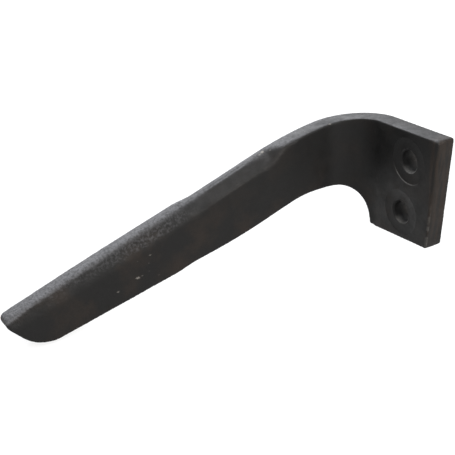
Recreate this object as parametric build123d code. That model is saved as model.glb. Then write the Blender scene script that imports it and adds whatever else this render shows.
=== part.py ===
from build123d import *
import math
import os

os.makedirs("parts", exist_ok=True)

# Power harrow tine: one forging from a flat bar. A bolted head is bent square into a shank,
# which runs out into a long knife that leans across the bar.
#
# It is modelled in the bend's own directions, with Z along the bend line, X along the head
# and the blade towards -Y. Heights are counted from the middle of the bolt pattern.
# At the end it is turned so that Z follows the line through the two bolts, with the origin
# midway between them on the face that seats on the rotor.

# Bar
thickness = 15.0
bend_radius = 28.0

# Head: its end and both sides lean a little from the bend's directions
head_reach = 63.0
end_angle = 6.4
head_top = 43.6
head_top_angle = 2.7
head_foot = 46.1
head_foot_angle = 4.4
end_top_corner = 1.5
end_foot_corner = 1.5

# Bolt holes, spot-faced for the bolt heads on the inside of the bend
bolt_spacing = 45.0
bolt_bore = 17.0
bolt_setback = 32.9
bolt_line_angle = 10.0
bore_chamfer = 1.2
spot_diameter = 36.0
spot_depth = 0.5

# Notch that frees the head's lower corner, as a quarter circle on the unrolled bar
notch_radius = 28.0
notch_start = 8.0
notch_steps = 6

# Shank, from the end of the bend
shank_top = 37.0
shank_top_angle = 6.9
shank_foot = 14.5
shank_run = 55.0
shank_angle = 18.1
foot_level = 9.0
foot_turn_radius = 80.0
foot_angle = 17.5
foot_run = 30.5
foot_ease_radius = 420.0

# Knife, drawn out a little wider than the shank
knife_start = 113.0
knife_swell = 2.2
foot_swell = 1.4
foot_swell_lag = 7.0
swell_length = 17.0
knife_angle = 17.5
knife_crown = 0.6
knife_foot_angle = 12.2
blade_reach = 273.5
tip_radius = 30.0
tip_angle = 47.0
tip_corner = 5.0

# Cutting bevel on the blade's upper inside edge, as (place, width, fall) along the blade
bevel_start = 37.0
bevel_runout = 0.6
bevel_width = 10.2
bevel_fall = 8.6
bevel_run_in = 13.0
knife_bevel_start = 164.0
knife_bevel_width = 9.0
knife_bevel_fall = 11.8
tip_bevel_width = 2.5
tip_bevel_fall = 9.0

# Reach of the cutting tools past the metal, and round the bend past its end
overrun = 4.0
clear = 60.0
arc_overrun_angle = 1.0


def slope(angle):
    return math.tan(math.radians(angle))


def bend_length():
    return bend_radius * math.pi / 2


def head_plate():
    end = lambda height: head_reach + height * slope(end_angle)
    top = lambda x: head_top + x * slope(head_top_angle)
    foot = lambda x: -head_foot + x * slope(head_foot_angle)
    top_x = end(head_top) / (1 - slope(end_angle) * slope(head_top_angle))
    foot_x = end(-head_foot) / (1 - slope(end_angle) * slope(head_foot_angle))
    outline = Polyline((0, foot(0)), (foot_x, foot(foot_x)), (top_x, top(top_x)), (0, top(0)), close=True)
    face = make_face(Plane.XZ * outline)
    plate = extrude(face, amount=-thickness)
    uprights = plate.edges().filter_by(Axis.Y).sort_by(Axis.X)
    corners = uprights[-2:].sort_by(Axis.Z)
    plate = fillet(corners[-1], end_top_corner)
    low_corner = plate.edges().filter_by(Axis.Y).sort_by(Axis.X).filter_by(lambda e: e.center().Z < 0)[-1]
    return fillet(low_corner, end_foot_corner)


def radial_plane(run):
    """Plane through the bend's axis at a distance run round its inner arc, x outwards and y up."""
    angle = run / bend_radius
    outwards = (-math.sin(angle), math.cos(angle), 0)
    along = (math.cos(angle), math.sin(angle), 0)
    return Plane(origin=(0, -bend_radius, 0), x_dir=outwards, z_dir=along)


def radial_slab(run, low, high, margin):
    """Upright rectangle across the bar at one place round the bend."""
    width = thickness + 2 * margin
    middle = Pos(bend_radius + thickness / 2, (low + high) / 2)
    return radial_plane(run) * middle * Rectangle(width, high - low)


def bend_top(run):
    return head_top + (shank_top - head_top) * run / bend_length()


def bend():
    blank = radial_slab(0, -head_foot, head_top + overrun, 0)
    axis = Axis((0, -bend_radius, 0), (0, 0, 1))
    body = revolve(blank, axis=axis, revolution_arc=90)
    stations = [bend_length() * k / 4 for k in range(5)]
    top_cut = loft([radial_slab(run, bend_top(run), clear, overrun) for run in stations])
    centre = notch_start + notch_radius
    floor = -shank_foot - notch_radius
    below = -clear - notch_radius
    arc_slabs = []
    for k in range(notch_steps + 1):
        turn = math.pi / 2 * k / notch_steps
        run = centre - notch_radius * math.cos(turn)
        roof = floor + notch_radius * math.sin(turn)
        arc_slabs.append(radial_slab(run, below, roof, overrun))
    level = radial_slab(centre, below, -shank_foot, overrun)
    level_arc = math.degrees((bend_length() - centre) / bend_radius)
    level_cut = revolve(level, axis=axis, revolution_arc=level_arc + arc_overrun_angle)
    return body - top_cut - loft(arc_slabs) - level_cut


def top_arc_radius():
    turn = math.sin(math.radians(shank_angle)) - math.sin(math.radians(shank_top_angle))
    return shank_run / turn


def blade_top(place):
    """Height of the blade's upper edge at a distance from the end of the bend."""
    radius = top_arc_radius()
    start = math.radians(shank_top_angle)
    reached = math.asin(math.sin(start) + min(place, shank_run) / radius)
    height = shank_top - radius * (math.cos(start) - math.cos(reached))
    if place > shank_run:
        height -= (place - shank_run) * slope(shank_angle)
    if place > knife_start:
        height = blade_top(knife_start) + knife_swell
        height -= swell_length * slope(shank_angle)
        knife_run = place - knife_start - swell_length
        knife_length = blade_reach - knife_start - swell_length
        share = knife_run / knife_length
        height += knife_crown * 4 * share * (1 - share) - knife_run * slope(knife_angle)
    return height


def crossing(start, along, other, other_along):
    """Where the line from start meets the line through other."""
    gap = other - start
    share = gap.X * other_along.Y - gap.Y * other_along.X
    return start + along * (share / (along.X * other_along.Y - along.Y * other_along.X))


def blade_side():
    """Side view of shank and knife: x along the blade from the end of the bend, y up."""
    level = Line((0, -shank_foot), (foot_level, -shank_foot))
    turn = JernArc(level @ 1, level % 1, foot_turn_radius, -foot_angle)
    fall = Line(turn @ 1, (turn @ 1) + (turn % 1) * foot_run)
    ease = JernArc(fall @ 1, fall % 1, foot_ease_radius, foot_angle - knife_foot_angle)
    reach = (knife_start + foot_swell_lag - (ease @ 1).X) / (ease % 1).X
    run = Line(ease @ 1, (ease @ 1) + (ease % 1) * reach)
    along = run % 1
    wide = (run @ 1) + along * swell_length + Vector(0, -foot_swell)
    swell = Spline(run @ 1, wide, tangents=[along, along])
    knife_top = knife_start + swell_length
    top_start = Vector(knife_top, blade_top(knife_top))
    nose = Vector(blade_reach, blade_top(blade_reach))
    slant = Vector(1, slope(tip_angle)).normalized()
    heel = crossing(wide, along, nose, slant)
    crown_place = (knife_top + blade_reach) / 2
    top_edge = ThreePointArc(nose, (crown_place, blade_top(crown_place)), top_start)
    shank_wide = Vector(knife_start, blade_top(knife_start))
    back = Vector(-1, slope(shank_angle)).normalized()
    top_swell = Spline(top_start, shank_wide, tangents=[top_edge % 1, back])
    shank_edge = Line(shank_wide, (shank_run, blade_top(shank_run)))
    middle = (shank_run / 2, blade_top(shank_run / 2))
    shank_arc = ThreePointArc(shank_edge @ 1, middle, (0, shank_top))
    root = Line((0, shank_top), (0, -shank_foot))
    underside = level + turn + fall + ease + run + swell + Line(wide, heel)
    return underside + Line(heel, nose) + top_edge + top_swell + shank_edge + shank_arc + root


def blade_plane():
    return Plane(origin=(-bend_radius, -bend_radius, 0), x_dir=(0, -1, 0), z_dir=(-1, 0, 0))


def blade():
    face = make_face(blade_plane() * blade_side())
    body = extrude(face, amount=thickness)
    heel = body.edges().filter_by(Axis.X).sort_by(Axis.Y)[1]
    body = fillet(heel, tip_radius)
    nose = body.edges().filter_by(Axis.X).sort_by(Axis.Y)[0]
    return fillet(nose, tip_corner)


def bevel_section(place, width, fall):
    """Triangle of metal taken off the upper inside edge, drawn past both faces."""
    top = blade_top(place)
    on_top = Vector(-bend_radius - width, top)
    on_face = Vector(-bend_radius, top - fall)
    run = (on_face - on_top).normalized() * overrun
    outside = Vector(-bend_radius + overrun, top + overrun)
    across = Plane(origin=(0, -bend_radius - place, 0), x_dir=(1, 0, 0), z_dir=(0, -1, 0))
    return across * make_face(Polyline(on_top - run, on_face + run, outside, close=True))


def bevel_cut():
    full = bevel_start + bevel_run_in
    stations = [
        (bevel_start, bevel_runout, bevel_runout),
        (full, bevel_width, bevel_fall),
        (knife_start, bevel_width, bevel_fall),
        (knife_bevel_start, knife_bevel_width, knife_bevel_fall),
        (blade_reach + overrun, tip_bevel_width, tip_bevel_fall),
    ]
    return loft([bevel_section(*station) for station in stations], ruled=True)


def to_bolt_frame(shape):
    """Origin on the seating face between the bolts, Z along the line through them."""
    return Rot(0, -bolt_line_angle, 0) * Pos(-bolt_setback, -thickness, 0) * shape


def bolt_hole(height):
    inside = Plane(origin=(0, -thickness, height), x_dir=(1, 0, 0), z_dir=(0, -1, 0))
    floor = inside.offset(-spot_depth)
    bore = inside * Cylinder(bolt_bore / 2, 2 * (thickness + overrun))
    spot = floor * Cylinder(spot_diameter / 2, overrun, align=(Align.CENTER, Align.CENTER, Align.MIN))
    mouth = bolt_bore / 2 + bore_chamfer
    cone = Cone(bolt_bore / 2, mouth, bore_chamfer, align=(Align.CENTER, Align.CENTER, Align.MAX))
    return bore + spot + floor * cone


def tine():
    body = head_plate() + bend() + blade()
    body = to_bolt_frame(body - bevel_cut())
    for height in (-bolt_spacing / 2, bolt_spacing / 2):
        body -= bolt_hole(height)
    return body


export_step(tine(), "parts/tine.step")
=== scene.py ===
import math

import bmesh
import bpy
from mathutils import Matrix, Quaternion, Vector


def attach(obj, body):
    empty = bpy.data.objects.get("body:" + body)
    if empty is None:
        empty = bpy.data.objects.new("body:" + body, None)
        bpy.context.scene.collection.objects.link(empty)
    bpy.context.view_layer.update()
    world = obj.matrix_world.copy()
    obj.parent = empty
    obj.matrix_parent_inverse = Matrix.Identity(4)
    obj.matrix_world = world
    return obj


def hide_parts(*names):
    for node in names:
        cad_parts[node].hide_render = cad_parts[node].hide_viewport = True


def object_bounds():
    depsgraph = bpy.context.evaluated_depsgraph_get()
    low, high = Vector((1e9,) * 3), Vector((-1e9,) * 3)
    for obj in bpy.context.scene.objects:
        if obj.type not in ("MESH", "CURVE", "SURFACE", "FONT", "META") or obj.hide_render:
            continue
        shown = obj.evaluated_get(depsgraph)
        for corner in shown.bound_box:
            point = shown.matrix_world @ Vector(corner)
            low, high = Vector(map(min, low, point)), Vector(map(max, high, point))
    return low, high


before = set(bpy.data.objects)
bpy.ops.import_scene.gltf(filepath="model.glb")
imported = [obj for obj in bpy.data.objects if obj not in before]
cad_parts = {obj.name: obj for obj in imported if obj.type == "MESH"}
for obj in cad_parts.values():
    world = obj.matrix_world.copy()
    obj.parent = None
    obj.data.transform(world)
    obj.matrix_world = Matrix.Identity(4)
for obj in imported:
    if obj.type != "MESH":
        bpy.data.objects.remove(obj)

bl_info = {
    "name": "Power harrow tine",
    "version": (1, 0, 0),
    "blender": (4, 5, 0),
    "location": "View3D > Sidebar > Tine",
    "description": "Dresses the forged tine in satin black paint and sets it in a pale studio",
    "category": "Object",
}

MM = 0.001
CAD_LOW, CAD_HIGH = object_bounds()

# Points nearer than this are one point, and cutting tools reach this far past the metal.
WELD = 0.001 * MM
OVERCUT = 4 * MM

# The bend's own directions: the bar was turned by this much about Y to stand the bolts upright.
BOLT_LINE_ANGLE = math.radians(10)
ALONG_HEAD = (math.cos(BOLT_LINE_ANGLE), 0.0, math.sin(BOLT_LINE_ANGLE))
ACROSS_BAR = (-math.sin(BOLT_LINE_ANGLE), 0.0, math.cos(BOLT_LINE_ANGLE))
BOLT_AXIS = (0.0, 1.0, 0.0)
BOLT_LINE = (0.0, 0.0, 1.0)

# Bar, head and bolts as the solid has them
THICKNESS = 15 * MM
BEND_RADIUS = 28 * MM
BEND_RUN = BEND_RADIUS * math.pi / 2
HEAD_REACH = 63 * MM
END_ANGLE = math.radians(6.4)
BOLT_SETBACK = 32.9 * MM
BOLT_HEIGHTS = (-22.5 * MM, 22.5 * MM)

# The head's lower corner beside the notch, as run along the bar and height across it
NOTCH_CORNER = (8 * MM, -46.1 * MM, 0.0)

# Cutting bevel as (place along the blade, width, fall), from the shank to the tip
BEVEL = (
    (113 * MM, 10.2 * MM, 8.6 * MM),
    (164 * MM, 9.0 * MM, 11.8 * MM),
    (277.5 * MM, 2.5 * MM, 9.0 * MM),
)

# Roughly the way in which the bevel faces, and the most of its width that the strip above it may take
BEVEL_FACING = (0.707 * ALONG_HEAD[0], 0.0, 0.707)
STRIP_SHARE = 0.33

# Distances from a bolt's axis between which the head's pressed face turns into the wavy forging
PRESSED_FLAT = (18.5 * MM, 26 * MM)

# Smoothing passes that an edge is measured against, to find where the paint rubs off
EDGE_PASSES = 14

# Turn of the remeshing grid, so that no flat face lines up with it and shows steps
ASKEW = Quaternion((0.62, 0.31, 0.72), math.radians(37)).to_matrix().to_4x4()

# Axis about which the spot-facing cutter leans, so that it cuts deepest low down and towards the bend
CUTTER_LEAN = (1, 0, -0.4)

# Sides of a bolt's axis, as (x, z): where a spot face's rim gets a painted highlight, where a bore gets
# painted shade and where its lower wall gets a painted highlight; then the colour of that painted shade
RIM_LIT_SIDE = (-0.1, -0.99)
SHADED_SIDE = (-0.97, 0.25)
LIT_SIDE = (0.6, -0.8)
BORE_SHADE = (0.003, 0.003, 0.003)

# Knocks that show pale steel: place on the tine in millimetres, and size
KNOCKS = (
    ((-74.5, -94.8, 13.1), 1.5), ((-71.7, -89.5, 14.8), 0.9), ((-73.5, -97.5, 12.2), 1.1),
    ((-68.9, -106.8, 6.3), 1.2), ((-71.0, -58.6, 22.7), 0.9), ((-75.3, -63.8, 20.9), 0.9),
    ((-66.9, -38.4, 26.5), 1.1), ((-73.8, -114.5, 6.7), 0.7), ((-69.3, -151.4, -6.3), 0.6),
    ((-53.1, -211.6, -49.6), 1.3), ((-52.1, -228.4, -55.5), 1.0), ((-55.8, -200.3, -34.5), 0.9),
    ((-54.7, -201.7, -40.6), 0.6), ((-53.5, -201.9, -47.0), 0.6), ((-53.2, -207.9, -49.0), 0.8),
    ((-52.5, -194.6, -52.7), 0.6), ((-55.4, -210.6, -36.5), 0.5), ((-67.8, -57.8, 23.4), 0.7),
    ((-73.5, -82.1, 16.9), 0.6), ((-75.3, -115.1, 6.2), 0.6), ((-75.3, -68.2, 19.7), 0.6),
)

# Studio lights: place from the middle of the tine, width and height in metres, and colour
STUDIO_CENTRE = Vector((0, -0.12, 0))
LIGHTS = {
    "back": ((-1.06, 0.15, 0.54), (1.2, 0.8), (0.93, 0.95, 1.0)),
    "top": ((0.1, -0.2, 1.2), (1.2, 1.2), (0.93, 0.96, 1.0)),
    "side": ((0.95, 0.1, 0.7), (0.9, 1.3), (1.0, 0.965, 0.93)),
}

# Floor: its height and reach in metres, its grey, and the distances over which its glow grows to white
FLOOR_LEVEL = CAD_LOW.z - 0.5 * MM
FLOOR_REACH = 6.0
FLOOR_GREY = 0.25
GLOW_GROWS = (0.5, 1.3)

# Inputs of the forged surface's node group. Each has the name of the setting that feeds it.
SURFACE_LENGTHS = (
    "Knife from", "Knife blend", "Strip", "Knife strip",
    "Crown", "Wave height", "Scale height", "Skin height",
)
SURFACE_PASSES = ("Rounding", "End rounding", "Corner rounding", "Knife rounding")


class ForgingSettings(bpy.types.PropertyGroup):
    grain: bpy.props.FloatProperty(
        name="Mesh grain", description="Size of the skin's faces before thinning",
        default=0.5 * MM, unit="LENGTH")
    thinning: bpy.props.FloatProperty(
        name="Thinning", description="Share of the skin's faces that are kept",
        default=0.28, subtype="FACTOR")
    rounding: bpy.props.IntProperty(
        name="Rounding", description="Smoothing passes that round every edge", default=6)
    end_rounding: bpy.props.IntProperty(
        name="End rounding", description="More passes on the head's cropped end", default=40)
    knife_rounding: bpy.props.IntProperty(
        name="Knife rounding", description="More passes on the knife, whose edges are hammered soft",
        default=45)
    corner_rounding: bpy.props.IntProperty(
        name="Corner rounding", description="More passes on the head's lower corner, beside the notch",
        default=24)
    knife_from: bpy.props.FloatProperty(
        name="Knife from", description="Run from the bend at which the drawn-out knife starts",
        default=100 * MM, unit="LENGTH")
    knife_blend: bpy.props.FloatProperty(
        name="Knife blend", description="Length over which the shank turns into the knife's surface",
        default=40 * MM, unit="LENGTH")
    strip: bpy.props.FloatProperty(
        name="Strip", description="Width added to the flat strip above the bevel",
        default=2.6 * MM, unit="LENGTH")
    knife_strip: bpy.props.FloatProperty(
        name="Knife strip", description="Width added to that strip on the knife, past the shank's",
        default=0.3 * MM, unit="LENGTH")
    crown: bpy.props.FloatProperty(
        name="Crown", description="Bulge of the bar's narrow faces", default=0.5 * MM, unit="LENGTH")
    wave_height: bpy.props.FloatProperty(
        name="Wave height", description="Height of the forging's long waves",
        default=0.3 * MM, unit="LENGTH")
    wave_size: bpy.props.FloatProperty(
        name="Wave size", description="Length of the forging's long waves", default=34 * MM, unit="LENGTH")
    scale_height: bpy.props.FloatProperty(
        name="Scale height", description="Height of the forge scale on the knife",
        default=0.5 * MM, unit="LENGTH")
    scale_size: bpy.props.FloatProperty(
        name="Scale size", description="Size of the forge scale's lumps", default=3.0 * MM, unit="LENGTH")
    skin_height: bpy.props.FloatProperty(
        name="Skin height", description="Height of the fine unevenness all over",
        default=0.06 * MM, unit="LENGTH")
    skin_size: bpy.props.FloatProperty(
        name="Skin size", description="Size of the fine unevenness all over",
        default=5 * MM, unit="LENGTH")


class HoleSettings(bpy.types.PropertyGroup):
    bore: bpy.props.FloatProperty(
        name="Bore", description="Radius of a bolt hole", default=8.5 * MM, unit="LENGTH")
    chamfer: bpy.props.FloatProperty(
        name="Chamfer", description="Width of the break at a hole's mouth",
        default=1.2 * MM, unit="LENGTH")
    spot: bpy.props.FloatProperty(
        name="Spot face", description="Radius of the face cut for a bolt head",
        default=18 * MM, unit="LENGTH")
    spot_depth: bpy.props.FloatProperty(
        name="Spot depth", description="Depth of the upper hole's spot face",
        default=0.24 * MM, unit="LENGTH")
    shallower: bpy.props.FloatProperty(
        name="Shallower", description="How much less deep the lower hole's spot face is",
        default=0.12 * MM, unit="LENGTH")
    runout: bpy.props.FloatProperty(
        name="Paint in corners", description="Radius that paint leaves in a spot face's corner",
        default=0.25 * MM, unit="LENGTH")
    tilt: bpy.props.FloatProperty(
        name="Cutter tilt", description="Tilt of the spot faces, which are deepest low down",
        default=math.radians(0.3), subtype="ANGLE")
    segments: bpy.props.IntProperty(name="Segments", description="Facets round a hole", default=96)


class PaintSettings(bpy.types.PropertyGroup):
    colour: bpy.props.FloatVectorProperty(
        name="Paint", description="Satin black paint",
        default=(0.0078, 0.0076, 0.0074), subtype="COLOR", size=3)
    warm: bpy.props.FloatVectorProperty(
        name="Thin paint", description="Where the brown steel shows through thin paint",
        default=(0.0245, 0.0178, 0.0136), subtype="COLOR", size=3)
    # Grey painted as sheen on the faces that look up and on the knife's crest, where the top light falls, and
    # as the knife's forge scale
    sheen_grey: bpy.props.FloatVectorProperty(
        name="Top sheen", description="Painted sheen and grey scale on the rough faces that look up",
        default=(0.112, 0.112, 0.117), subtype="COLOR", size=3)
    # Grey of worn paint on the edges, also used for painted highlights on the upper spot face's rim and on
    # the bolt holes' lower and far walls
    wear_and_light: bpy.props.FloatVectorProperty(
        name="Worn edge", description="Paint rubbed grey along the edges",
        default=(0.10, 0.097, 0.092), subtype="COLOR", size=3)
    chip: bpy.props.FloatVectorProperty(
        name="Chips", description="Pale knocks in the paint",
        default=(0.34, 0.32, 0.29), subtype="COLOR", size=3)
    roughness: bpy.props.FloatProperty(
        name="Roughness", description="Roughness that the paint varies about", default=0.50, subtype="FACTOR")
    gloss: bpy.props.FloatProperty(
        name="Gloss", description="Strength of the paint's reflections", default=0.165, subtype="FACTOR")


class StudioSettings(bpy.types.PropertyGroup):
    camera_place: bpy.props.FloatVectorProperty(
        name="Camera", description="Where the camera stands",
        default=(0.48597, -0.48335, 0.42071), subtype="TRANSLATION", size=3)
    camera_aim: bpy.props.FloatVectorProperty(
        name="Aim", description="What the camera looks at",
        default=(-0.03003, -0.15118, -0.01039), subtype="TRANSLATION", size=3)
    camera_roll: bpy.props.FloatProperty(
        name="Roll", description="Tilt of the camera's horizon",
        default=math.radians(2.7), subtype="ANGLE")
    lens: bpy.props.FloatProperty(
        name="Lens", description="Focal length in millimetres on a 36 mm sensor", default=82.87)
    backdrop: bpy.props.FloatVectorProperty(
        name="Backdrop", description="Colour of floor and backdrop",
        default=(1.0, 1.0, 1.0), subtype="COLOR", size=3)
    ambient: bpy.props.FloatProperty(
        name="Ambient", description="Level of the light from all round", default=0.12)
    floor_glow: bpy.props.FloatProperty(
        name="Floor glow", description="Whiteness of the floor near the tine, in its shadow", default=0.82)
    back_power: bpy.props.FloatProperty(
        name="Back light", description="Power of the large light behind the tine, in watts", default=17.5)
    top_power: bpy.props.FloatProperty(
        name="Top light", description="Power of the light overhead, in watts", default=12.0)
    side_power: bpy.props.FloatProperty(
        name="Side light", description="Power of the light high on the right, in watts", default=16.5)


def add_to_scene(name, data):
    made = bpy.data.objects.new(name, data)
    bpy.context.scene.collection.objects.link(made)
    return made


def baked(piece, name):
    """The piece with its modifiers applied, as a new object in its place."""
    evaluated = piece.evaluated_get(bpy.context.evaluated_depsgraph_get())
    mesh = bpy.data.meshes.new_from_object(evaluated)
    bpy.data.objects.remove(piece)
    return add_to_scene(name, mesh)


def as_object(name, body):
    """New object with a bmesh's faces. The bmesh is used up."""
    mesh = bpy.data.meshes.new(name)
    body.to_mesh(mesh)
    body.free()
    return add_to_scene(name, mesh)


def lathe(profile, segments):
    """Closed turned body about the Y axis, from (radius, y) points that start and end on the axis."""
    body = bmesh.new()
    points = [body.verts.new((radius, y, 0)) for radius, y in profile]
    edges = [body.edges.new(pair) for pair in zip(points, points[1:])]
    bmesh.ops.spin(
        body, geom=points + edges, cent=(0, 0, 0), axis=(0, 1, 0), steps=segments, angle=2 * math.pi,
        use_merge=True, use_normal_flip=False)
    bmesh.ops.remove_doubles(body, verts=body.verts, dist=WELD)
    bmesh.ops.recalc_face_normals(body, faces=body.faces)
    return body


def add_body(target, body, height):
    """Moves a turned body's axis to a bolt's height and its faces into the target bmesh."""
    mesh = bpy.data.meshes.new("part")
    bmesh.ops.translate(body, verts=body.verts, vec=(0, 0, height))
    body.to_mesh(mesh)
    target.from_mesh(mesh)
    bpy.data.meshes.remove(mesh)
    body.free()


def forging_blank(node, holes):
    """The CAD node's mesh, its loose triangles joined and its bolt holes plugged, as before machining."""
    skin = bmesh.new()
    skin.from_mesh(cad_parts[node].data)
    bmesh.ops.remove_doubles(skin, verts=skin.verts, dist=WELD)
    overlap = 0.1 * MM
    plug = holes.spot + overlap
    for height in BOLT_HEIGHTS:
        profile = [(0, 0), (plug, 0), (plug, -THICKNESS), (0, -THICKNESS)]
        add_body(skin, lathe(profile, holes.segments), height)
    return as_object("blank", skin)


def drill_profile(holes, floor):
    """Bore through the head, with the break at its mouth in the spot face's floor."""
    mouth = holes.bore + holes.chamfer
    return [
        (0, OVERCUT), (holes.bore, OVERCUT), (holes.bore, floor + holes.chamfer),
        (mouth, floor), (mouth + OVERCUT, floor - OVERCUT), (0, floor - OVERCUT),
    ]


def spot_profile(holes, floor):
    """Spot face, with the paint's small radius in its corner."""
    corner = holes.runout
    inset = 0.3 * corner
    top = -THICKNESS - OVERCUT
    return [
        (0, floor), (holes.spot - corner, floor), (holes.spot - inset, floor - inset),
        (holes.spot, floor - corner), (holes.spot, top), (0, top),
    ]


def hole_cutters(holes):
    """Drill and spot facer, each for both holes. The spot facer leans, and stops short at the lower one."""
    floor = holes.spot_depth - THICKNESS
    seat = Matrix.Translation((0, floor, 0))
    lean = seat @ Quaternion(CUTTER_LEAN, holes.tilt).to_matrix().to_4x4() @ seat.inverted()
    drill = bmesh.new()
    spot_facer = bmesh.new()
    for height, raised in zip(BOLT_HEIGHTS, (holes.shallower, 0)):
        add_body(drill, lathe(drill_profile(holes, floor), holes.segments), height)
        spot = lathe(spot_profile(holes, floor), holes.segments)
        turn = Matrix.Translation((0, -raised, 0)) @ lean
        bmesh.ops.transform(spot, matrix=turn, verts=spot.verts)
        add_body(spot_facer, spot, height)
    return [as_object("drill", drill), as_object("spot facer", spot_facer)]


class Tree:
    """Short hand for building a node tree."""

    def __init__(self, tree):
        self.tree = tree

    def node(self, kind, values=None, **options):
        made = self.tree.nodes.new(kind)
        for key, value in options.items():
            setattr(made, key, value)
        for key, value in (values or {}).items():
            self.feed(made.inputs[key], value)
        return made

    def feed(self, socket, value):
        if isinstance(value, bpy.types.NodeSocket):
            self.tree.links.new(value, socket)
        else:
            socket.default_value = value

    def maths(self, operation, *values):
        made = self.node("ShaderNodeMath", operation=operation)
        for socket, value in zip(made.inputs, values):
            self.feed(socket, value)
        return made.outputs[0]

    def product(self, first, *others):
        for other in others:
            first = self.maths("MULTIPLY", first, other)
        return first

    def total(self, first, *others):
        for other in others:
            first = self.maths("ADD", first, other)
        return first

    def larger(self, first, *others):
        for other in others:
            first = self.maths("MAXIMUM", first, other)
        return first

    def vector(self, operation, first, second=None):
        made = self.node("ShaderNodeVectorMath", {0: first}, operation=operation)
        if second is not None:
            self.feed(made.inputs[1], second)
        return made

    def dot(self, first, second):
        return self.vector("DOT_PRODUCT", first, second).outputs["Value"]

    def scaled(self, vector, factor):
        made = self.node("ShaderNodeVectorMath", {0: vector, "Scale": factor}, operation="SCALE")
        return made.outputs[0]

    def stretched(self, vector, factors):
        return self.vector("MULTIPLY", vector, factors).outputs[0]

    def ramp(self, value, low, high, to_low=0.0, to_high=1.0):
        """value taken from low..high to to_low..to_high, smoothly and never past them."""
        made = self.node(
            "ShaderNodeMapRange",
            {"Value": value, "From Min": low, "From Max": high, "To Min": to_low, "To Max": to_high},
            interpolation_type="SMOOTHSTEP")
        return made.outputs[0]

    def noise(self, place, size, detail=2.0, roughness=0.5, distortion=0.0):
        """Noise from 0 to 1 whose lumps have about the given size in metres."""
        made = self.node(
            "ShaderNodeTexNoise",
            {"Vector": place, "Scale": 1 / size, "Detail": detail, "Roughness": roughness,
             "Distortion": distortion})
        return made.outputs["Fac"]

    def mix(self, factor, first, second):
        made = self.node("ShaderNodeMix", data_type="RGBA")
        for socket, value in ((made.inputs[0], factor), (made.inputs[6], first), (made.inputs[7], second)):
            self.feed(socket, value)
        return made.outputs[2]

    def blurred(self, value, passes, weight=1.0):
        made = self.node(
            "GeometryNodeBlurAttribute", {"Value": value, "Iterations": passes, "Weight": weight},
            data_type="FLOAT_VECTOR")
        return made.outputs[0]

    def moved(self, shape, **how):
        """The shape moved by an Offset or to a Position."""
        return self.node("GeometryNodeSetPosition", {"Geometry": shape, **how}).outputs[0]


def bar_coordinates(tree, place):
    """Run along the bar from the start of its bend, depth from its inside face, and height across it."""
    x = tree.maths("ADD", tree.dot(place, ALONG_HEAD), BOLT_SETBACK)
    y = tree.maths("ADD", tree.dot(place, BOLT_AXIS), THICKNESS + BEND_RADIUS)
    beyond = tree.larger(tree.product(x, -1.0), 0.0)
    above = tree.larger(y, 0.0)
    reach = tree.maths("SQRT", tree.total(tree.product(beyond, beyond), tree.product(above, above)))
    depth = tree.maths("SUBTRACT", reach, BEND_RADIUS)
    arc = tree.product(tree.maths("ARCTAN2", beyond, above), BEND_RADIUS)
    down_blade = tree.larger(tree.product(y, -1.0), 0.0)
    up_head = tree.larger(x, 0.0)
    run = tree.maths("SUBTRACT", tree.total(arc, down_blade), up_head)
    return run, depth, tree.dot(place, ACROSS_BAR)


def from_axis(tree, place, height):
    """The place's (x, z) distances from a bolt axis at a height, and how far it is from that axis."""
    x, _, z = tree.node("ShaderNodeSeparateXYZ", {0: place}).outputs
    z = tree.maths("SUBTRACT", z, height)
    return x, z, tree.maths("SQRT", tree.total(tree.product(x, x), tree.product(z, z)))


def from_bolt(tree, place):
    """The same from the nearer bolt's axis."""
    upper_or_lower = tree.maths("SIGN", tree.dot(place, BOLT_LINE))
    return from_axis(tree, place, tree.product(upper_or_lower, BOLT_HEIGHTS[1]))


def turned_to(tree, side, x, z, out):
    """1 on the given (x, z) side of an axis, 0 at right angles to it and -1 on the other side."""
    return tree.maths("DIVIDE", tree.total(tree.product(x, side[0]), tree.product(z, side[1])), out)


def bevel_size(tree, place):
    """Width and fall of the cutting bevel at a place along the blade."""
    width, fall = BEVEL[0][1:]
    for (start, *near), (end, *far) in zip(BEVEL, BEVEL[1:]):
        share = tree.maths("DIVIDE", tree.maths("SUBTRACT", place, start), end - start)
        share = tree.maths("MINIMUM", tree.larger(share, 0.0), 1.0)
        width = tree.maths("ADD", width, tree.product(share, far[0] - near[0]))
        fall = tree.maths("ADD", fall, tree.product(share, far[1] - near[1]))
    return width, fall


class ForgingFields:
    """What the forging's steps read at a point: its place, its normal and where it is on the bar."""

    def __init__(self, tree, given):
        self.place = tree.node("GeometryNodeInputPosition").outputs[0]
        self.normal = tree.node("GeometryNodeInputNormal").outputs[0]
        self.upwards = tree.dot(self.normal, ACROSS_BAR)
        self.run, self.depth, self.height = bar_coordinates(tree, self.place)
        knife_from = tree.maths("ADD", given["Knife from"], BEND_RUN)
        self.knife = tree.ramp(self.run, knife_from, tree.maths("ADD", knife_from, given["Knife blend"]))


def crown_offset(tree, at, given):
    """Bulge of the bar's narrow faces, up to the knife."""
    across = tree.maths("DIVIDE", tree.maths("SUBTRACT", at.depth, THICKNESS / 2), THICKNESS / 2)
    bulge = tree.larger(tree.maths("SUBTRACT", 1.0, tree.product(across, across)), 0.0)
    narrow = tree.ramp(tree.maths("ABSOLUTE", at.upwards), 0.75, 0.9)
    before_knife = tree.maths("SUBTRACT", 1.0, at.knife)
    return tree.scaled(at.normal, tree.product(bulge, narrow, before_knife, given["Crown"]))


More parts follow.
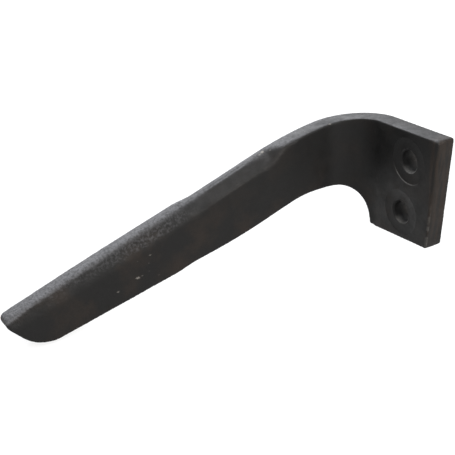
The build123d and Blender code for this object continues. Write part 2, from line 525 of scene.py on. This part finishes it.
def strip_offset(tree, at, given):
    """Fill on the bevel's upper side, which widens the flat strip above it."""
    on_bevel = tree.product(
        tree.ramp(at.run, BEND_RUN + 45 * MM, BEND_RUN + 60 * MM),
        tree.ramp(at.run, BEND_RUN + 270 * MM, BEND_RUN + 250 * MM),
        tree.ramp(at.upwards, 0.2, 0.4), tree.ramp(at.upwards, 0.99, 0.93))
    width, fall = bevel_size(tree, tree.maths("SUBTRACT", at.run, BEND_RUN))
    added = tree.maths("ADD", given["Strip"], tree.product(at.knife, given["Knife strip"]))
    added = tree.maths("MINIMUM", added, tree.product(width, STRIP_SHARE))
    rising = tree.maths("DIVIDE", at.depth, tree.maths("SUBTRACT", width, added))
    falling = tree.maths("DIVIDE", tree.maths("SUBTRACT", width, at.depth), added)
    tent = tree.larger(tree.maths("MINIMUM", rising, falling), 0.0)
    return tree.scaled(ACROSS_BAR, tree.product(added, tree.maths("DIVIDE", fall, width), tent, on_bevel))


def end_mask(tree, at):
    """The inside edge of the head's cropped end."""
    at_end = tree.ramp(at.run, -HEAD_REACH + 4 * MM, -HEAD_REACH - 2 * MM)
    return tree.product(at_end, tree.ramp(at.depth, 6 * MM, 2 * MM))


def corner_mask(tree, at):
    """The head's lower corner, beside the notch."""
    on_bar = tree.node("ShaderNodeCombineXYZ", {0: at.run, 1: at.height}).outputs[0]
    away = tree.vector("DISTANCE", on_bar, NOTCH_CORNER).outputs["Value"]
    return tree.ramp(away, 6 * MM, 2 * MM)


def hammered_mask(tree, at):
    """The upper inside faces, on the knife and where the bevel runs in after the bend."""
    run_in = tree.product(
        tree.ramp(at.run, BEND_RUN + 25 * MM, BEND_RUN + 32 * MM),
        tree.ramp(at.run, BEND_RUN + 70 * MM, BEND_RUN + 50 * MM))
    facing = tree.ramp(tree.dot(at.normal, BEVEL_FACING), 0.35, 0.6)
    return tree.product(tree.larger(at.knife, run_in), facing)


def skin_offset(tree, at, given, settings):
    """Long waves outside the pressed faces at the bolts, forge scale on the knife and a fine unevenness."""
    pressed_flat = tree.ramp(from_bolt(tree, at.place)[2], *PRESSED_FLAT)
    wave = tree.maths("SUBTRACT", tree.noise(at.place, settings.wave_size, detail=1.0), 0.5)
    wave = tree.product(wave, pressed_flat)
    lumps = tree.noise(at.place, settings.scale_size, detail=3.0, roughness=0.6, distortion=0.4)
    patches = tree.ramp(tree.noise(at.place, settings.wave_size / 2), 0.35, 0.65, 0.35, 1.0)
    scale = tree.product(tree.maths("SUBTRACT", lumps, 0.5), at.knife, patches)
    fine = tree.maths("SUBTRACT", tree.noise(at.place, settings.skin_size), 0.5)
    rise = tree.total(
        tree.product(wave, given["Wave height"]), tree.product(scale, given["Scale height"]),
        tree.product(fine, given["Skin height"]))
    return tree.scaled(at.normal, rise)


def surface_group():
    """Empty node group with a named input for each size of the forged surface."""
    group = bpy.data.node_groups.new("forged surface", "GeometryNodeTree")
    group.interface.new_socket("Geometry", in_out="OUTPUT", socket_type="NodeSocketGeometry")
    inputs = [("Geometry", "NodeSocketGeometry"), ("Material", "NodeSocketMaterial")]
    inputs += [(name, "NodeSocketFloat") for name in SURFACE_LENGTHS]
    inputs += [(name, "NodeSocketInt") for name in SURFACE_PASSES]
    for name, kind in inputs:
        group.interface.new_socket(name, in_out="INPUT", socket_type=kind)
    return group


def forged_surface(settings):
    """Geometry nodes that round the plain blank, lay the forging's skin on it and mark its edges."""
    group = surface_group()
    tree = Tree(group)
    given = tree.node("NodeGroupInput").outputs
    at = ForgingFields(tree, given)
    shape = tree.moved(given["Geometry"], Offset=crown_offset(tree, at, given))
    shape = tree.moved(shape, Offset=strip_offset(tree, at, given))
    softening = {
        "Rounding": 1.0,
        "End rounding": end_mask(tree, at),
        "Corner rounding": corner_mask(tree, at),
        "Knife rounding": hammered_mask(tree, at),
    }
    for passes, mask in softening.items():
        shape = tree.moved(shape, Position=tree.blurred(at.place, given[passes], mask))
    shape = tree.moved(shape, Offset=skin_offset(tree, at, given, settings))

    proud = tree.vector("SUBTRACT", at.place, tree.blurred(at.place, EDGE_PASSES)).outputs[0]
    edge = tree.maths("DIVIDE", tree.dot(proud, at.normal), MM)
    marked = tree.node(
        "GeometryNodeStoreNamedAttribute", {"Geometry": shape, "Name": "edge", "Value": edge},
        data_type="FLOAT", domain="POINT")
    painted = tree.node(
        "GeometryNodeSetMaterial", {"Geometry": marked.outputs[0], "Material": given["Material"]})
    tree.node("NodeGroupOutput", {"Geometry": painted.outputs[0]})
    return group


class PaintFields:
    """What the paint's marks read at a point: its place, where it is on the bar, and noises they share."""

    def __init__(self, tree):
        coordinates = tree.node("ShaderNodeTexCoord").outputs
        self.place = coordinates["Object"]
        self.outwards = tree.dot(self.place, BOLT_AXIS)
        self.upward = tree.dot(coordinates["Normal"], ACROSS_BAR)
        self.run, self.depth, self.height = bar_coordinates(tree, self.place)
        self.bar = tree.node("ShaderNodeCombineXYZ", {0: self.run, 1: self.depth, 2: self.height}).outputs[0]
        self.blade = tree.ramp(self.run, 60 * MM, 85 * MM)
        self.knife = tree.ramp(self.run, 150 * MM, 190 * MM)
        self.grit = tree.noise(self.place, 2.0 * MM, detail=3.0, roughness=0.6)
        self.patchiness = tree.noise(self.place, 6 * MM, detail=5.0, roughness=0.7)


def thin_paint(tree, on):
    """Blotches where the steel shows through, stronger low down."""
    blotches = tree.ramp(tree.noise(on.place, 28 * MM, detail=4.0, roughness=0.6), 0.42, 0.7)
    low_down = tree.ramp(on.height, 5 * MM, -25 * MM)
    return tree.product(blotches, tree.maths("ADD", tree.product(low_down, 0.35), 0.2))


def streaked_end(tree, on):
    """Upright streaks of thin paint on the head's cropped end."""
    cut_end = tree.ramp(on.run, -HEAD_REACH + 7 * MM, -HEAD_REACH + 1 * MM)
    upright = tree.stretched(on.bar, (1.0, 1.0, 0.12))
    streaks = tree.ramp(tree.noise(upright, 3 * MM, detail=3.0), 0.35, 0.65, 0.1, 1.0)
    return tree.product(cut_end, streaks, 0.8)


def sheen_and_scale(tree, on):
    """Painted sheen in grey on the faces that look up and along the crest of the knife's bevel, where the top
    light falls, and grey forge scale on the bevel.
    """
    on_top = tree.ramp(on.upward, 0.6, 0.98)
    on_bevel = tree.ramp(on.upward, 0.25, 0.5)
    width, _ = bevel_size(tree, tree.maths("SUBTRACT", on.run, BEND_RUN))
    crest = tree.product(tree.ramp(tree.maths("DIVIDE", on.depth, width), 0.42, 0.78), on.knife)
    painted_sheen = tree.product(
        tree.larger(on_top, tree.product(on_bevel, crest)),
        tree.total(0.2, tree.product(on.blade, 0.35), tree.product(on.knife, 0.35)),
        tree.ramp(on.grit, 0.3, 0.7, 0.5, 1.4))
    scaly = tree.product(on_bevel, on.knife, tree.ramp(on.grit, 0.42, 0.66), 0.35)
    return tree.larger(painted_sheen, scaly)


def lit_rim_mask(tree, on, bolt, radius, width):
    """Soft line round a bolt's axis on the inside face, on its lower side: a painted highlight where the
    rim's wall faces the top light.
    """
    x, z, out = from_axis(tree, on.place, bolt)
    off = tree.maths("ABSOLUTE", tree.maths("SUBTRACT", out, radius))
    line = tree.ramp(off, width, 0.3 * width)
    turned = turned_to(tree, RIM_LIT_SIDE, x, z, out)
    inside_face = tree.ramp(on.outwards, -THICKNESS + 3 * MM, -THICKNESS + 1 * MM)
    return tree.product(line, tree.ramp(turned, 0.55, 0.95), inside_face)


def worn_edges_and_lit_rim(tree, on, holes):
    """Worn paint on every edge and on the lower half of the end's inside edge, and a painted highlight on the
    lower rim of the upper spot face.
    """
    edge = tree.node("ShaderNodeAttribute", attribute_name="edge").outputs["Fac"]
    edges = tree.ramp(tree.total(edge, tree.product(on.patchiness, 0.35)), 0.42, 0.75)
    # Painted highlight on the upper spot face's lower rim, where its wall faces the top light
    rim = lit_rim_mask(tree, on, bolt=BOLT_HEIGHTS[1], radius=holes.spot + 0.1 * MM, width=0.7 * MM)
    from_end = tree.total(on.run, HEAD_REACH, tree.product(on.height, math.tan(END_ANGLE)))
    end_edge = tree.ramp(tree.larger(from_end, on.depth), 1.9 * MM, 1.1 * MM)
    low_down = tree.ramp(on.height, 0.0, -20 * MM)
    low_edge = tree.product(end_edge, low_down, tree.ramp(on.patchiness, 0.42, 0.58))
    return tree.larger(
        tree.product(edges, 0.4), tree.product(rim, on.patchiness, 1.7), tree.product(low_edge, 0.45))


def bore_mask(tree, on, holes, side, deep):
    """A bolt hole's wall and mouth on the given (x, z) side of its axis, fading out by a depth."""
    x, z, out = from_bolt(tree, on.place)
    mouth = holes.bore + holes.chamfer
    return tree.product(
        tree.ramp(out, mouth + 0.2 * MM, mouth - 0.6 * MM),
        tree.ramp(turned_to(tree, side, x, z, out), 0.1, 0.8),
        tree.ramp(on.outwards, deep - THICKNESS, 0.3 * deep - THICKNESS))


def lit_far_wall(tree, on, holes):
    """Painted light on a bolt hole's wall near its far end, which light from behind the head reaches."""
    _, _, out = from_bolt(tree, on.place)
    on_wall = tree.ramp(out, holes.bore + 0.5 * MM, holes.bore + 0.2 * MM)
    return tree.product(on_wall, tree.ramp(on.outwards, -9 * MM, -5 * MM))


def pale_knocks(tree, on):
    """A few random chips, and the knocks at their places, with ragged outlines."""
    specks = tree.node("ShaderNodeTexVoronoi", {"Vector": on.place, "Scale": 1 / (19 * MM)}).outputs
    small = tree.ramp(specks["Distance"], 0.03, 0.045, 1.0, 0.0)
    drawn = tree.node("ShaderNodeSeparateColor", {0: specks["Color"]}).outputs[0]
    knocks = tree.product(small, tree.ramp(drawn, 0.97, 0.98))
    ragged = tree.product(tree.noise(on.place, 0.7 * MM), 1.6)
    for spot, size in KNOCKS:
        away = tree.vector("SUBTRACT", on.place, tuple(value * MM for value in spot)).outputs[0]
        away = tree.vector("LENGTH", tree.stretched(away, (1.0, 0.5, 1.0))).outputs["Value"]
        reach = tree.total(tree.maths("DIVIDE", away, size * MM), ragged)
        strength = min(0.8, 0.32 * size ** 2)
        knocks = tree.larger(knocks, tree.ramp(reach, 1.6, 1.1, 0.0, strength))
    return knocks


def paint_relief(tree, on):
    """Height of the paint's relief: orange peel all over, grit on the knife, rolling lines on the shank."""
    orange_peel = tree.noise(on.place, 1.1 * MM)
    gritty = tree.total(tree.product(on.knife, tree.ramp(on.upward, 0.2, 0.6, 0.3, 1.0)), 0.1)
    along_bar = tree.stretched(on.bar, (0.04, 1.0, 1.0))
    rolled = tree.noise(along_bar, 1.6 * MM, detail=3.0)
    on_shank = tree.product(on.blade, tree.maths("SUBTRACT", 1.0, on.knife), 0.3)
    return tree.total(
        tree.product(orange_peel, 0.03), tree.product(on.grit, gritty), tree.product(rolled, on_shank))


def satin_black_paint(settings, holes):
    """Black paint over forged steel, with each mark laid over the ones before it: thin paint, wear, chips,
    and painted sheen, highlights and shade.
    """
    material = bpy.data.materials.new("satin black paint")
    material.use_nodes = True
    shader = material.node_tree.nodes["Principled BSDF"]
    shader.inputs["Specular IOR Level"].default_value = settings.gloss
    tree = Tree(material.node_tree)
    on = PaintFields(tree)
    # Painted shade on one side of each bore
    shaded_wall = bore_mask(tree, on, holes, SHADED_SIDE, deep=10 * MM)
    # Painted highlight on each bore's lower wall near its mouth, where light falls in
    lit_wall = bore_mask(tree, on, holes, LIT_SIDE, deep=7 * MM)
    marks = (
        (thin_paint(tree, on), settings.warm),
        (streaked_end(tree, on), settings.warm),
        # Painted sheen on the faces that look up and on the knife's crest, with grey forge scale
        (sheen_and_scale(tree, on), settings.sheen_grey),
        (worn_edges_and_lit_rim(tree, on, holes), settings.wear_and_light),
        # Painted shade in the bores, then painted light on their far and lower walls
        (tree.product(shaded_wall, 0.9), BORE_SHADE),
        (tree.product(lit_far_wall(tree, on, holes), 0.45), settings.wear_and_light),
        (tree.product(lit_wall, tree.ramp(on.patchiness, 0.3, 0.6, 0.6, 1.0)), settings.wear_and_light),
        (pale_knocks(tree, on), settings.chip),
    )
    coat = (*settings.colour, 1.0)
    for mask, colour in marks:
        coat = tree.mix(mask, coat, (*colour, 1.0))
    tree.feed(shader.inputs["Base Color"], coat)

    sheen = tree.noise(on.place, 9 * MM, detail=4.0, roughness=0.65)
    roughness = tree.ramp(sheen, 0.3, 0.7, settings.roughness - 0.07, settings.roughness + 0.1)
    tree.feed(shader.inputs["Roughness"], roughness)
    bump = tree.node(
        "ShaderNodeBump", {"Height": paint_relief(tree, on), "Strength": 1.0, "Distance": 0.8 * MM})
    tree.feed(shader.inputs["Normal"], bump.outputs[0])
    return material


def crisp_holes(mesh, holes):
    """Marks the machined edges round the bolt holes sharp and leaves the forged ones smooth."""
    skin = bmesh.new()
    skin.from_mesh(mesh)
    for face in skin.faces:
        face.smooth = True
    reach = holes.spot + 0.4 * MM
    sharp = math.radians(28)
    for edge in skin.edges:
        middle = (edge.verts[0].co + edge.verts[1].co) / 2
        away = min(math.hypot(middle.x, middle.z - height) for height in BOLT_HEIGHTS)
        if away < reach and edge.calc_face_angle(0) > sharp:
            edge.smooth = False
    skin.to_mesh(mesh)
    skin.free()


def evenly_meshed(blank, grain):
    """The blank in even faces of the given size."""
    blank.data.transform(ASKEW)
    remesh = blank.modifiers.new("grain", "REMESH")
    remesh.mode = "VOXEL"
    remesh.voxel_size = grain
    remesh.use_smooth_shade = True
    blank = baked(blank, "blank")
    blank.data.transform(ASKEW.inverted())
    return blank


def forge(blank, settings, material):
    """Adds the modifiers that turn the even blank into the painted forging."""
    skin = blank.modifiers.new("forged surface", "NODES")
    skin.node_group = forged_surface(settings)
    inputs = skin.node_group.interface.items_tree
    skin[inputs["Material"].identifier] = material
    for name in SURFACE_LENGTHS + SURFACE_PASSES:
        setting = name.lower().replace(" ", "_")
        skin[inputs[name].identifier] = getattr(settings, setting)
    thin = blank.modifiers.new("thinning", "DECIMATE")
    thin.ratio = settings.thinning


def machined(blank, holes, material):
    """The finished piece, with its bolt holes cut."""
    cutters = hole_cutters(holes)
    for cutter in cutters:
        cutter.data.materials.append(material)
        cut = blank.modifiers.new(cutter.name, "BOOLEAN")
        cut.operation = "DIFFERENCE"
        cut.solver = "MANIFOLD"
        cut.object = cutter
    piece = baked(blank, "forged_tine")
    for cutter in cutters:
        bpy.data.objects.remove(cutter)
    crisp_holes(piece.data, holes)
    return piece


class TINE_OT_forging(bpy.types.Operator):
    """Builds the tine's painted forged skin over its CAD solid"""

    bl_idname = "tine.forging"
    bl_label = "Forging"

    def execute(self, context):
        settings = context.scene.tine_forging
        holes = context.scene.tine_holes
        material = satin_black_paint(context.scene.tine_paint, holes)
        blank = evenly_meshed(forging_blank("tine", holes), settings.grain)
        forge(blank, settings, material)
        piece = machined(blank, holes, material)
        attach(piece, "root")
        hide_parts("tine")
        return {"FINISHED"}


def turn_towards(made, aim, roll=0.0):
    """Points an object's -Z at the aim, with its Y up, then rolls it about that line."""
    made.rotation_mode = "QUATERNION"
    look = (Vector(aim) - made.location).to_track_quat("-Z", "Y")
    made.rotation_quaternion = look @ Quaternion((0, 0, 1), roll)


def area_light(name, place, size, colour, power):
    lamp = bpy.data.lights.new(name, "AREA")
    lamp.shape = "RECTANGLE"
    lamp.size, lamp.size_y = size
    lamp.energy = power
    lamp.color = colour
    made = add_to_scene(name, lamp)
    made.location = place
    made.visible_camera = False
    turn_towards(made, STUDIO_CENTRE)


def seen_rays(tree):
    """1 for the rays that see the backdrop itself: the camera's, and those in reflections and glass."""
    rays = tree.node("ShaderNodeLightPath").outputs
    return tree.larger(rays["Is Camera Ray"], rays["Is Glossy Ray"], rays["Is Transmission Ray"])


def studio_world(settings):
    """White to the camera and in reflections, and an even level of light otherwise."""
    world = bpy.data.worlds.new("studio")
    world.use_nodes = True
    bpy.context.scene.world = world
    tree = Tree(world.node_tree)
    background = world.node_tree.nodes["Background"]
    background.inputs["Color"].default_value = (*settings.backdrop, 1.0)
    tree.feed(background.inputs["Strength"], tree.ramp(seen_rays(tree), 0.0, 1.0, settings.ambient, 1.0))


def studio_camera(settings):
    camera = bpy.data.cameras.new("camera")
    camera.lens = settings.lens
    camera.sensor_width = 36.0
    camera.clip_start = 0.01
    made = add_to_scene("camera", camera)
    made.location = settings.camera_place
    turn_towards(made, settings.camera_aim, settings.camera_roll)
    bpy.context.scene.camera = made


def floor_material(settings):
    """Grey to the lamps, so that it keeps the tine's shadow, and lit to white for the rays that see it."""
    material = bpy.data.materials.new("pale floor")
    material.use_nodes = True
    shader = material.node_tree.nodes["Principled BSDF"]
    shader.inputs["Base Color"].default_value = (FLOOR_GREY, FLOOR_GREY, FLOOR_GREY, 1.0)
    shader.inputs["Roughness"].default_value = 1.0
    shader.inputs["Specular IOR Level"].default_value = 0.0
    shader.inputs["Emission Color"].default_value = (*settings.backdrop, 1.0)
    tree = Tree(material.node_tree)
    far_off = tree.vector("LENGTH", tree.node("ShaderNodeTexCoord").outputs["Object"]).outputs["Value"]
    glow = tree.ramp(far_off, *GLOW_GROWS, settings.floor_glow, 1.0)
    tree.feed(shader.inputs["Emission Strength"], tree.product(seen_rays(tree), glow))
    return material


def pale_floor(settings):
    corners = [
        (x * FLOOR_REACH, y * FLOOR_REACH, FLOOR_LEVEL) for x, y in ((-1, -1), (1, -1), (1, 1), (-1, 1))]
    mesh = bpy.data.meshes.new("floor")
    mesh.from_pydata(corners, [], [(0, 1, 2, 3)])
    mesh.materials.append(floor_material(settings))
    add_to_scene("floor", mesh)


class TINE_OT_studio(bpy.types.Operator):
    """Sets the camera, the lights, the pale floor and the backdrop"""

    bl_idname = "tine.studio"
    bl_label = "Studio"

    def execute(self, context):
        settings = context.scene.tine_studio
        context.scene.view_settings.view_transform = "Standard"
        studio_world(settings)
        studio_camera(settings)
        pale_floor(settings)
        for name, (offset, size, colour) in LIGHTS.items():
            power = getattr(settings, name + "_power")
            area_light(name + " light", STUDIO_CENTRE + Vector(offset), size, colour, power)
        return {"FINISHED"}


SETTINGS = {
    "tine_forging": ForgingSettings,
    "tine_holes": HoleSettings,
    "tine_paint": PaintSettings,
    "tine_studio": StudioSettings,
}


class TINE_PT_panel(bpy.types.Panel):
    """Lists the tine's settings and steps"""

    bl_idname = "TINE_PT_panel"
    bl_label = "Power harrow tine"
    bl_space_type = "VIEW_3D"
    bl_region_type = "UI"
    bl_category = "Tine"

    def draw(self, context):
        for group in SETTINGS:
            settings = getattr(context.scene, group)
            box = self.layout.box()
            for name in settings.bl_rna.properties.keys():
                if name not in ("rna_type", "name"):
                    box.prop(settings, name)
        self.layout.operator("tine.forging")
        self.layout.operator("tine.studio")


CLASSES = (*SETTINGS.values(), TINE_OT_forging, TINE_OT_studio, TINE_PT_panel)


def register():
    for cls in CLASSES:
        bpy.utils.register_class(cls)
    for name, group in SETTINGS.items():
        setattr(bpy.types.Scene, name, bpy.props.PointerProperty(type=group))


def unregister():
    for name in SETTINGS:
        delattr(bpy.types.Scene, name)
    for cls in reversed(CLASSES):
        bpy.utils.unregister_class(cls)


def main():
    register()
    bpy.ops.tine.forging()
    bpy.ops.tine.studio()


if __name__ == "__main__":
    main()
